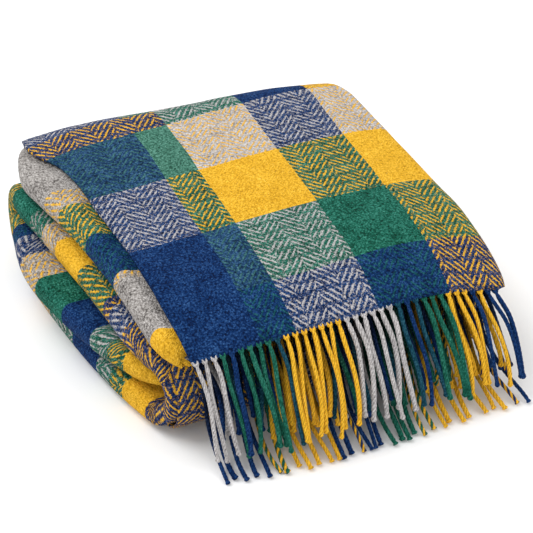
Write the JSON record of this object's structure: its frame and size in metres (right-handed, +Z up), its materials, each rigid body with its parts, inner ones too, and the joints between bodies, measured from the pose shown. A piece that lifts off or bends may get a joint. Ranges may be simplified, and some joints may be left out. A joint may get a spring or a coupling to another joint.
{
  "type": "folded wool throw",
  "caption": "Checked wool throw blanket, folded into a soft bundle with twisted fringe hanging over its front.",
  "frame": {"origin": "centre of the bounding box's bottom, on the surface the folded throw rests on", "axes": "+Z up, -Y towards the fringed front, +X towards the folded right-hand side"},
  "size_m": [0.3508, 0.4082, 0.1208],
  "materials": {
    "throw_cloth": "brushed matt wool, checked",
    "fringe_top": "twisted matt wool yarn",
    "fringe_middle": "twisted matt wool yarn",
    "fringe_inner": "twisted matt wool yarn",
    "fringe_floor": "twisted matt wool yarn"
  },
  "bodies": {
    "root": {"throw_cloth": "throw_cloth", "fringe_top": "fringe_top", "fringe_middle": "fringe_middle", "fringe_inner": "fringe_inner", "fringe_floor": "fringe_floor"}
  },
  "joints": []
}
